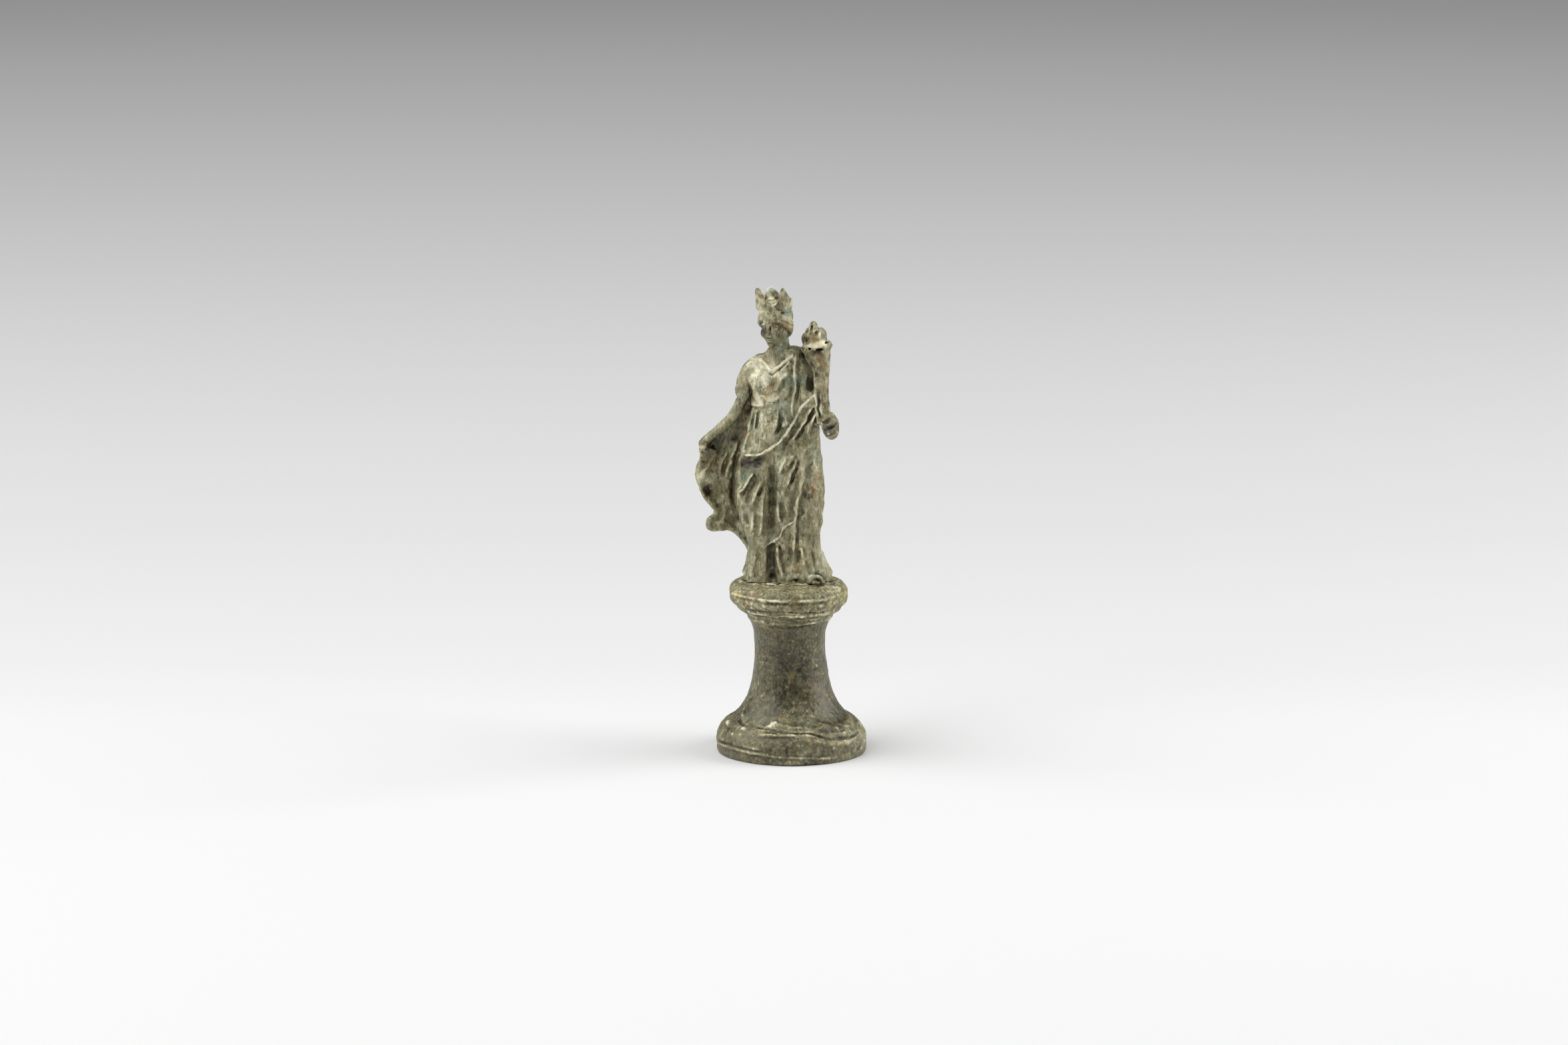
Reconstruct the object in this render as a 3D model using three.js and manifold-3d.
// A small cast bronze of a draped goddess, standing on a spool-shaped pedestal.
// She wears an open crown, holds a horn of plenty on her left arm, and her
// right hand spreads the mantle that hangs behind her.
//
// Millimetres. +Z is up, +X is the viewer's right, and she faces -Y. The
// origin is the centre of the pedestal's underside.

import * as THREE from "three";
import { LoftGeometry } from "three/addons/geometries/LoftGeometry.js";
import { mergeVertices } from "three/addons/utils/BufferGeometryUtils.js";
import Module from "manifold-3d";

const wasm = await Module();
wasm.setup();

// Driving dimensions

const statuetteHeight = 120.4;
const joint = 0.3; // the gap between the figure and its pedestal
const ground = 44.6; // the height that the figure stands on
const pedestal = {
  height: ground - joint,
  footRadius: 19.4,
  drumHeight: 8.7,
  waistRadius: 9.1,
  waistHeight: 27.5,
  capRadius: 15.3,
  capHeight: 9.0,
  topRadius: 13.3,
  lean: -0.02, // sideways run for each millimetre up, as cast
  segments: 32,
};
const headCentre = new THREE.Vector3(-4.1, -1.5, 110.6);
const headTurn = THREE.MathUtils.degToRad(28); // towards her right hand
const headNod = THREE.MathUtils.degToRad(8);
const neckFoot = new THREE.Vector3(-3.0, 0.2, 101.5);
const mantleThickness = 1.9;
const hornMouth = new THREE.Vector3(6.1, -2.6, 105.3);
const hornMouthRadius = 3.8;

// The gown and the wrapped mantle are one swelling stack of ovals. Each row
// gives a height, the oval's middle in x, its half width, and how far it
// reaches to the front and to the back.
const gownRows = [
  { z: ground, x: -0.9, half: 11.3, front: 6.2, back: 6.0 }, // hem
  { z: 46.6, x: -1.1, half: 11.0, front: 6.1, back: 5.9 },
  { z: 49.0, x: -1.4, half: 10.1, front: 5.7, back: 5.4 },
  { z: 52.0, x: -1.6, half: 8.9, front: 5.3, back: 5.0 }, // ankles
  { z: 57.0, x: -2.4, half: 9.5, front: 5.5, back: 5.1 },
  { z: 61.0, x: -3.0, half: 10.0, front: 5.9, back: 5.2 },
  { z: 65.0, x: -3.2, half: 10.6, front: 6.3, back: 5.3 }, // knees
  { z: 70.0, x: -3.2, half: 10.7, front: 6.3, back: 5.6 },
  { z: 75.0, x: -3.3, half: 10.6, front: 6.2, back: 6.0 }, // hips
  { z: 79.0, x: -3.2, half: 9.7, front: 5.8, back: 5.8 },
  { z: 84.0, x: -2.9, half: 8.2, front: 5.0, back: 5.0 },
  { z: 89.0, x: -3.1, half: 7.4, front: 4.5, back: 4.5 }, // belt
  { z: 93.0, x: -3.1, half: 7.4, front: 4.7, back: 4.6 },
  { z: 97.0, x: -3.2, half: 7.7, front: 4.8, back: 4.8 }, // breast
  { z: 100.0, x: -3.2, half: 7.0, front: 3.8, back: 4.5 },
  { z: 102.2, x: -3.0, half: 5.2, front: 3.0, back: 3.7 },
  { z: 104.0, x: -2.9, half: 3.0, front: 2.2, back: 2.6 }, // neck
];
const gownRoundness = 2.3; // 2 is an ellipse, and more is squarer
const gownRings = 31;
const gownPoints = 34;

// Folds, as seen from the front or the back: points [x, z] along each crest or
// furrow, how far it stands out, or cuts in where that is below zero, and its
// half width.
const frontFolds = [
  // Pulls across the right thigh, and from its knee to the shin
  { run: [[-9.2, 73.5], [-11.5, 69.6], [-13.2, 66.8]], rise: 0.9, half: 1.1 },
  { run: [[-7.2, 70.5], [-7.8, 63.2], [-9.0, 56.8]], rise: 1.1, half: 1.1 },
  // The furrow between the legs
  {
    run: [[-5.0, 74.0], [-5.2, 66.0], [-5.6, 57.0], [-5.2, 51.0], [-4.8, 44.6]],
    rise: -1.7,
    half: 1.3,
  },
  // A pull from the left hip, and the long fold that falls over the left leg
  { run: [[0.5, 76.0], [-0.9, 71.6], [-1.9, 68.5]], rise: 1.0, half: 1.1 },
  {
    run: [[2.8, 79.0], [2.8, 72.9], [1.6, 65.5], [0.7, 60.0], [0.5, 51.0]],
    rise: 1.2,
    half: 1.2,
  },
  // The mantle's lower hem, falling from the left knee to the right shin
  { run: [[1.0, 62.0], [-3.6, 57.0], [-9.6, 52.4]], rise: 0.8, half: 1.4 },
  // Upright folds of the gown above the feet
  { run: [[-3.0, 54.6], [-2.6, 45.2]], rise: 1.0, half: 1.1 },
  { run: [[4.9, 53.0], [5.4, 45.0]], rise: -0.8, half: 1.2 },
  { run: [[-8.6, 53.0], [-9.4, 45.0]], rise: -0.6, half: 1.1 },
  // The pouch of cloth below the belt, and the mantle's edge on the shoulder
  { run: [[-3.2, 88.0], [-4.8, 82.4]], rise: 0.8, half: 1.1 },
  { run: [[0.8, 103.0], [0.8, 96.0], [0.0, 90.0], [0.0, 86.4]], rise: 1.0, half: 1.1 },
  // The belt, high under the breasts
  { run: [[-10.6, 89.6], [-7.0, 89.8], [-3.4, 91.2]], rise: -0.6, half: 1.2 },
];
// Broad swellings of the front: the breasts and the free right knee
const frontSwells = [
  { at: [-7.6, 95.6], rise: 1.3, half: [2.1, 2.4] },
  { at: [-1.7, 95.6], rise: 1.3, half: [2.1, 2.4] },
  { at: [-9.4, 66.0], rise: 1.4, half: [2.8, 7.0] },
];
const backFolds = [
  { run: [[5.5, 99.0], [-3.0, 90.0], [-11.0, 83.0]], rise: 0.8, half: 1.6 },
  { run: [[5.8, 91.0], [-2.0, 81.0], [-11.5, 73.0]], rise: 0.8, half: 1.6 },
  { run: [[6.0, 82.0], [-1.0, 71.0], [-10.0, 62.0]], rise: 0.8, half: 1.6 },
  { run: [[5.5, 70.0], [1.0, 61.0], [-5.0, 54.0]], rise: 0.7, half: 1.5 },
  { run: [[-7.5, 54.0], [-8.2, 45.0]], rise: -0.7, half: 1.2 },
  { run: [[-2.0, 54.0], [-2.0, 45.0]], rise: -0.8, half: 1.2 },
  { run: [[3.5, 56.0], [4.4, 45.0]], rise: -0.7, half: 1.2 },
];

// The rolled edge of the mantle, from the right hip up to the left arm
const mantleRoll = [[-12.9, 77.0], [-7.7, 78.0], [-2.1, 82.0], [2.2, 88.0], [5.6, 92.4]];
const mantleRollRadius = 1.25;

// The outer edge of the spread mantle: height, and how far left it reaches
const mantleEdge = [
  [51.6, -10.6], [53.4, -12.4], [55.3, -13.9], [56.4, -16.0], [57.0, -20.6],
  [58.7, -22.0], [60.3, -21.6], [61.6, -19.7], [63.2, -20.6], [66.0, -22.5],
  [70.3, -24.3], [72.2, -24.7], [76.0, -24.0], [79.6, -22.9], [83.5, -18.6],
  [87.0, -15.3], [91.0, -12.9], [97.0, -10.8],
];
const mantleInnerEdge = -6.5;
const mantleHollow = 2.7; // how far back its middle lies behind its outer edge

// Curves and relief

const vec = (x, y, z) => new THREE.Vector3(x, y, z);

// A smooth function through rows of [position, value, value, ...].
function through(rows) {
  const size = rows[0].length - 1;
  const at = Float64Array.from(rows, (row) => row[0]);
  const values = Float64Array.from(rows.flatMap((row) => row.slice(1)));
  const spline = new THREE.CubicInterpolant(at, values, size, new Float64Array(size));
  return (position) => Array.from(spline.evaluate(position));
}

// How far a point lies from a run of points, and how far along the run that is.
function nearestOnRun(run, x, z) {
  let best = { distance: Infinity, along: 0 };
  for (let i = 0; i + 1 < run.length; i++) {
    const [x0, z0] = run[i];
    const dx = run[i + 1][0] - x0;
    const dz = run[i + 1][1] - z0;
    const share = ((x - x0) * dx + (z - z0) * dz) / (dx * dx + dz * dz);
    const t = THREE.MathUtils.clamp(share, 0, 1);
    const distance = Math.hypot(x - x0 - t * dx, z - z0 - t * dz);
    if (distance < best.distance) best = { distance, along: (i + t) / (run.length - 1) };
  }
  return best;
}

// The height at a point of all folds, each one running out at its ends, and of
// the swellings under them.
function reliefOf(folds, swells, x, z) {
  let height = 0;
  for (const { run, rise, half } of folds) {
    const { distance, along } = nearestOnRun(run, x, z);
    const runOut = Math.min(1, 0.35 + 4 * Math.min(along, 1 - along));
    height += rise * runOut * Math.exp(-((distance / half) ** 2));
  }
  for (const { at, rise, half } of swells) {
    const away = Math.hypot((x - at[0]) / half[0], (z - at[1]) / half[1]);
    height += rise * Math.exp(-(away ** 2));
  }
  return height;
}

// Geometries

// A closed solid from a geometry, with its shared points joined.
function solidOf(geometry) {
  const bare = geometry.index ? geometry.toNonIndexed() : geometry.clone();
  for (const name of ["normal", "uv"]) bare.deleteAttribute(name);
  const merged = mergeVertices(bare, 1e-4);
  return new wasm.Manifold(
    new wasm.Mesh({
      numProp: 3,
      vertProperties: merged.attributes.position.array,
      triVerts: new Uint32Array(merged.index.array),
    }),
  );
}

function geometryOf(solid) {
  const { vertProperties, triVerts } = solid.getMesh();
  const geometry = new THREE.BufferGeometry();
  geometry.setAttribute("position", new THREE.BufferAttribute(vertProperties, 3));
  geometry.setIndex(new THREE.BufferAttribute(triVerts, 1));
  geometry.computeVertexNormals();
  return geometry;
}

// A limb or roll of cloth: an oval carried along a smooth curve. The radius
// function gives its half width at a share of the length, and the ends round
// off over a short stretch.
function limb(points, radiusAt, { around = 10, along = 7, flat = 1, cap = 0.15 } = {}) {
  const curve = new THREE.CatmullRomCurve3(points);
  const sections = [];
  for (let i = 0; i <= along; i++) {
    const t = i / along;
    const middle = curve.getPoint(t);
    const ahead = curve.getTangent(t);
    const side = vec(0, -1, 0).cross(ahead).normalize();
    const up = ahead.clone().cross(side);
    const toEnd = Math.min(1, (Math.min(t, 1 - t) + 0.01) / cap);
    const radius = radiusAt(t) * Math.sqrt(1 - (1 - toEnd) ** 2);
    sections.push(
      Array.from({ length: around }, (_, j) => {
        const angle = (2 * Math.PI * j) / around;
        return middle
          .clone()
          .addScaledVector(side, radius * Math.cos(angle))
          .addScaledVector(up, radius * flat * Math.sin(angle));
      }),
    );
  }
  return new LoftGeometry(sections, { capStart: true, capEnd: true });
}

function ball(centre, radii, { turn = new THREE.Euler(), across = 8, down = 6 } = {}) {
  const geometry = new THREE.SphereGeometry(1, across, down);
  const place = new THREE.Matrix4().compose(
    centre,
    new THREE.Quaternion().setFromEuler(turn),
    radii,
  );
  return geometry.applyMatrix4(place);
}

// The pedestal: a thick foot, a spool and a moulded cap, turned on one axis
function pedestalGeometry() {
  const p = pedestal;
  const capFoot = p.height - p.capHeight;
  const profile = new THREE.Path();
  profile.moveTo(0, 0);
  profile.lineTo(p.footRadius - 0.7, 0);
  profile.quadraticCurveTo(p.footRadius, 0, p.footRadius, 1.4);
  profile.lineTo(p.footRadius - 0.3, 2.1);
  profile.bezierCurveTo(p.footRadius + 0.2, 3.4, p.footRadius - 0.2, 5.6, 17.7, 7.2);
  profile.quadraticCurveTo(16.9, p.drumHeight, 15.9, p.drumHeight);
  profile.lineTo(15.1, p.drumHeight + 0.7);
  profile.bezierCurveTo(11.7, 12.6, p.waistRadius, 18.5, p.waistRadius, p.waistHeight);
  profile.quadraticCurveTo(p.waistRadius, 31.6, 9.9, 33.8);
  profile.quadraticCurveTo(10.8, 34.4, 10.5, 35.2);
  profile.lineTo(10.8, capFoot);
  profile.quadraticCurveTo(12.9, capFoot + 0.6, 14.0, capFoot + 2.9);
  profile.lineTo(15.0, capFoot + 3.6);
  profile.quadraticCurveTo(p.capRadius + 0.3, p.height - 3.8, 14.9, p.height - 2.0);
  profile.quadraticCurveTo(14.4, p.height - 0.2, p.topRadius, p.height);
  profile.lineTo(0, p.height);
  const points = profile.getPoints(3);
  const turned = new THREE.LatheGeometry(points, p.segments);
  turned.rotateX(Math.PI / 2);
  return turned.applyMatrix4(new THREE.Matrix4().makeShear(0, 0, 0, 0, p.lean, 0));
}

const gownShape = through(gownRows.map((r) => [r.z, r.x, r.half, r.front, r.back]));

// The gown, from the hem to the base of the neck
function gownGeometry() {
  const top = gownRows.at(-1).z;
  const sections = [];
  for (let i = 0; i <= gownRings; i++) {
    const z = THREE.MathUtils.lerp(ground, top, i / gownRings);
    const [middle, half, front, back] = gownShape(z);
    const ring = [];
    for (let j = 0; j < gownPoints; j++) {
      const even = (2 * Math.PI * j) / gownPoints;
      const angle = even - 0.3 * Math.cos(even); // closer together at the front
      const c = Math.cos(angle);
      const s = Math.sin(angle);
      const oval = Math.abs(c) ** gownRoundness + Math.abs(s) ** gownRoundness;
      const reach = oval ** (-1 / gownRoundness);
      const depth = s < 0 ? front : back;
      const x = middle + half * c * reach;
      const y = depth * s * reach;
      const facing = THREE.MathUtils.smoothstep(Math.abs(s), 0.1, 0.6);
      const [folds, swells] = s < 0 ? [frontFolds, frontSwells] : [backFolds, []];
      const rise = facing * reliefOf(folds, swells, x, z);
      const out = Math.hypot(c / half, s / depth);
      ring.push(vec(x + (rise * c) / half / out, y + (rise * s) / depth / out, z));
    }
    sections.push(ring);
  }
  return new LoftGeometry(sections, { capStart: true, capEnd: true });
}

// The roll of cloth that crosses her front, lying on the gown
function mantleRollGeometry() {
  const points = mantleRoll.map(([x, z]) => {
    const [middle, half, front] = gownShape(z);
    const across = Math.min(0.97, Math.abs(x - middle) / half) ** gownRoundness;
    return vec(x, -front * (1 - across) ** (1 / gownRoundness), z);
  });
  return limb(points, () => mantleRollRadius, { around: 8, along: 14, cap: 0.2 });
}

// The mantle that her right hand spreads, a curtain as thick as the casting
function mantleGeometry() {
  const edge = through(mantleEdge);
  const rows = 18;
  const across = 8;
  const [bottom, top] = [mantleEdge[0][0], mantleEdge.at(-1)[0]];
  const sections = [];
  for (let i = 0; i <= rows; i++) {
    const z = THREE.MathUtils.lerp(bottom, top, i / rows);
    const [left] = edge(z);
    const faces = { front: [], back: [] };
    for (let j = 0; j <= across; j++) {
      const share = (j / across) ** 1.3;
      const x = THREE.MathUtils.lerp(left, mantleInnerEdge, share);
      const inward = THREE.MathUtils.smoothstep(x, -24, -9);
      const spread = Math.max(0, 97 - z) / 40; // the folds fan out as they fall
      const wave = 0.8 * spread * Math.sin((x + 10) / (0.5 + 1.15 * spread));
      const y = mantleHollow * inward + wave * Math.min(1, 3 * share + 0.3);
      const thick = (mantleThickness / 2) * Math.min(1, 0.35 + 6 * share);
      faces.front.push(vec(x, y - thick, z));
      faces.back.unshift(vec(x, y + thick, z));
    }
    sections.push([...faces.front, ...faces.back]);
  }
  return new LoftGeometry(sections, { capStart: true, capEnd: true });
}

// The open crown: a ring whose wall rises in three worn points
function crownGeometry() {
  const steps = 18;
  const lobes = [
    { at: -1.1, rise: 3.9, half: 0.55 }, // her right
    { at: 0.85, rise: 4.6, half: 0.6 }, // her left
    { at: Math.PI, rise: 3.2, half: 0.8 }, // behind
  ];
  const wall = 0.95;
  const sections = [];
  for (let i = 0; i < steps; i++) {
    const angle = (2 * Math.PI * i) / steps;
    const high = lobes.reduce((sum, lobe) => {
      const away = Math.abs(((angle - lobe.at + 3 * Math.PI) % (2 * Math.PI)) - Math.PI);
      return sum + lobe.rise * Math.exp(-((away / lobe.half) ** 2));
    }, 0.9);
    const out = vec(Math.sin(angle), -Math.cos(angle), 0);
    const point = (radius, height) => out.clone().multiplyScalar(radius).setZ(height);
    const flare = 0.12 * high;
    sections.push([
      point(3.0, -1.2),
      point(4.25, -1.0),
      point(4.45 + flare / 2, high / 2),
      point(4.25 + flare, high),
      point(4.25 + flare - wall, high - 0.1),
      point(3.3, 0.1),
    ]);
  }
  sections.push(sections[0]);
  return new LoftGeometry(sections.reverse());
}

// Neck, head, hair and crown, in the head's own frame, then turned and nodded
function headSolids() {
  const turned = new THREE.Matrix4().compose(
    headCentre,
    new THREE.Quaternion().setFromEuler(new THREE.Euler(headNod, 0, -headTurn, "ZXY")),
    vec(1, 1, 1),
  );
  const pieces = [
    ball(vec(0, 0, 0.2), vec(4.1, 4.7, 5.6), { across: 14, down: 10 }), // skull
    ball(vec(0, -1.5, -2.2), vec(2.9, 3.3, 3.7), { across: 10, down: 8 }), // jaw
    ball(vec(0, -4.5, -1.2), vec(0.6, 1.0, 1.5)), // nose
    ball(vec(0, 4.0, -0.8), vec(2.6, 1.9, 2.4)), // knot of hair
    crownGeometry().translate(0, 0.5, 5.0),
    new THREE.CylinderGeometry(3.4, 4.1, 2.4, 12).rotateX(Math.PI / 2).translate(0, 0.5, 4.4),
  ];
  for (const side of [-1, 1]) {
    // The waved hair rolls back from the parting over each temple
    const roll = [
      vec(side * 0.2, -3.7, 3.9),
      vec(side * 2.6, -3.0, 2.3),
      vec(side * 3.9, -0.6, 0.2),
      vec(side * 2.9, 2.6, -1.2),
    ];
    pieces.push(limb(roll, () => 1.15, { around: 7, along: 6 }));
  }
  const neckRun = [neckFoot, vec(-3.1, -0.2, 104.5), vec(-4.1, -1.0, 108.0)];
  const neck = limb(neckRun, (t) => 3.0 - 0.6 * t, { around: 10, along: 4 });
  return [neck, ...pieces.map((piece) => piece.applyMatrix4(turned))].map(solidOf);
}

// Her right side: the short sleeve, the lowered arm and the hand on the mantle
function rightArmSolids() {
  const sleeve = [
    vec(-7.6, 0.2, 100.4),
    vec(-10.8, -0.2, 98.0),
    vec(-12.6, -0.6, 94.4),
    vec(-12.9, -0.7, 91.4),
  ];
  const arm = [
    vec(-12.4, -0.4, 92.5),
    vec(-15.1, -0.3, 87.0),
    vec(-18.6, -0.3, 83.6),
    vec(-22.4, -0.4, 79.9),
  ];
  const sleeveRadius = (t) => 2.3 - 0.5 * t;
  const armRadius = (t) => 1.5 - 0.35 * t;
  return [
    limb(sleeve, sleeveRadius, { flat: 1.1 }),
    limb(arm, armRadius, { around: 8, cap: 0.06 }),
    ball(vec(-22.4, -0.6, 78.7), vec(1.5, 1.6, 2.1)),
  ].map(solidOf);
}

// Her left side: shoulder, bent arm under the mantle, fist and horn of plenty
function leftArmSolids() {
  const upperArm = [vec(1.0, 0.6, 101.6), vec(4.2, 0.9, 99.8), vec(6.0, 1.0, 94.6), vec(6.2, 1.0, 88.4)];
  const forearm = [vec(5.6, 2.0, 88.0), vec(6.6, -2.0, 87.4), vec(7.9, -5.2, 86.6), vec(9.0, -8.0, 86.0)];
  const hanging = [vec(4.4, -3.4, 90.0), vec(5.2, -3.0, 84.6), vec(4.8, -2.0, 79.0)];
  const strip = [vec(6.2, -5.6, 94.6), vec(6.4, -6.4, 90.4), vec(7.0, -6.2, 83.4)];
  return [
    limb(upperArm, () => 2.9),
    limb(forearm, (t) => 2.7 - 1.0 * t, { around: 8, along: 6 }),
    limb(hanging, () => 2.3, { around: 8, along: 6, flat: 1.3, cap: 0.3 }),
    limb(strip, () => 0.7, { around: 6, along: 6, flat: 1.8 }),
    ball(vec(9.5, -8.4, 85.6), vec(2.1, 2.5, 3.5), {
      turn: new THREE.Euler(0, THREE.MathUtils.degToRad(-22), 0),
      across: 10,
      down: 8,
    }),
    ...hornGeometries(),
  ].map(solidOf);
}

function hornGeometries() {
  const axis = [
    vec(9.2, -8.4, 85.6),
    vec(8.5, -7.0, 89.5),
    vec(7.7, -5.2, 96.0),
    vec(6.8, -3.8, 101.0),
    hornMouth,
  ];
  const width = through([
    [0, 1.3],
    [0.2, 1.3],
    [0.45, 1.75],
    [0.62, 2.0],
    [0.78, 2.8],
    [0.93, hornMouthRadius],
    [1, hornMouthRadius],
  ]);
  const tilt = axis.at(-1).clone().sub(axis.at(-2)).normalize();
  const lip = new THREE.TorusGeometry(hornMouthRadius - 0.15, 0.6, 6, 16);
  lip.applyQuaternion(new THREE.Quaternion().setFromUnitVectors(vec(0, 0, 1), tilt));
  lip.translate(hornMouth.x, hornMouth.y, hornMouth.z);
  const fruit = [
    ball(hornMouth.clone().add(vec(-0.2, 0.2, 1.9)), vec(2.2, 2.1, 4.4)),
    ball(hornMouth.clone().add(vec(0, 0.2, 0.4)), vec(3.3, 3.3, 1.6)),
  ];
  const count = 5;
  for (let i = 0; i < count; i++) {
    const angle = (2 * Math.PI * i) / count + 0.3;
    const place = vec(2.2 * Math.cos(angle), 2.2 * Math.sin(angle), 1.5 + 0.5 * Math.sin(5 * i));
    fruit.push(ball(hornMouth.clone().add(place), vec(1.35, 1.35, 1.5), { across: 6, down: 4 }));
  }
  return [limb(axis, (t) => width(t)[0], { around: 10, along: 10, cap: 0.03 }), lip, ...fruit];
}

// The tips of her feet, where they show under the hem
function footSolids() {
  return [
    { at: vec(0.8, -5.0, ground + 0.9), radii: vec(1.9, 2.0, 0.9) },
    { at: vec(6.4, -4.6, ground + 0.9), radii: vec(1.7, 1.6, 0.9) },
  ].map(({ at, radii }) => solidOf(ball(at, radii)));
}

// The cast figure, joined as one body and cut flat where it stands
function figureGeometry() {
  const parts = [
    solidOf(gownGeometry()),
    solidOf(mantleRollGeometry()),
    solidOf(mantleGeometry()),
    ...rightArmSolids(),
    ...leftArmSolids(),
    ...headSolids(),
    ...footSolids(),
  ];
  const joined = parts.reduce((sum, part) => sum.add(part));
  const [below, above] = [10, statuetteHeight - ground];
  const room = new THREE.BoxGeometry(100, 100, above + below);
  room.translate(0, 0, ground + (above + below) / 2);
  return geometryOf(joined.intersect(solidOf(room)));
}

// Materials and the finished group

const figureBronze = new THREE.MeshStandardMaterial({
  color: 0x8d8a72,
  roughness: 0.62,
  metalness: 0.35,
});
const pedestalBronze = new THREE.MeshStandardMaterial({
  color: 0x66614b,
  roughness: 0.7,
  metalness: 0.3,
});

function named(name, geometry, material) {
  const mesh = new THREE.Mesh(geometry, material);
  mesh.name = name;
  return mesh;
}

const statuette = new THREE.Group();
statuette.add(
  named("pedestal", pedestalGeometry(), pedestalBronze),
  named("goddess_figure", figureGeometry(), figureBronze),
);

export default statuette;
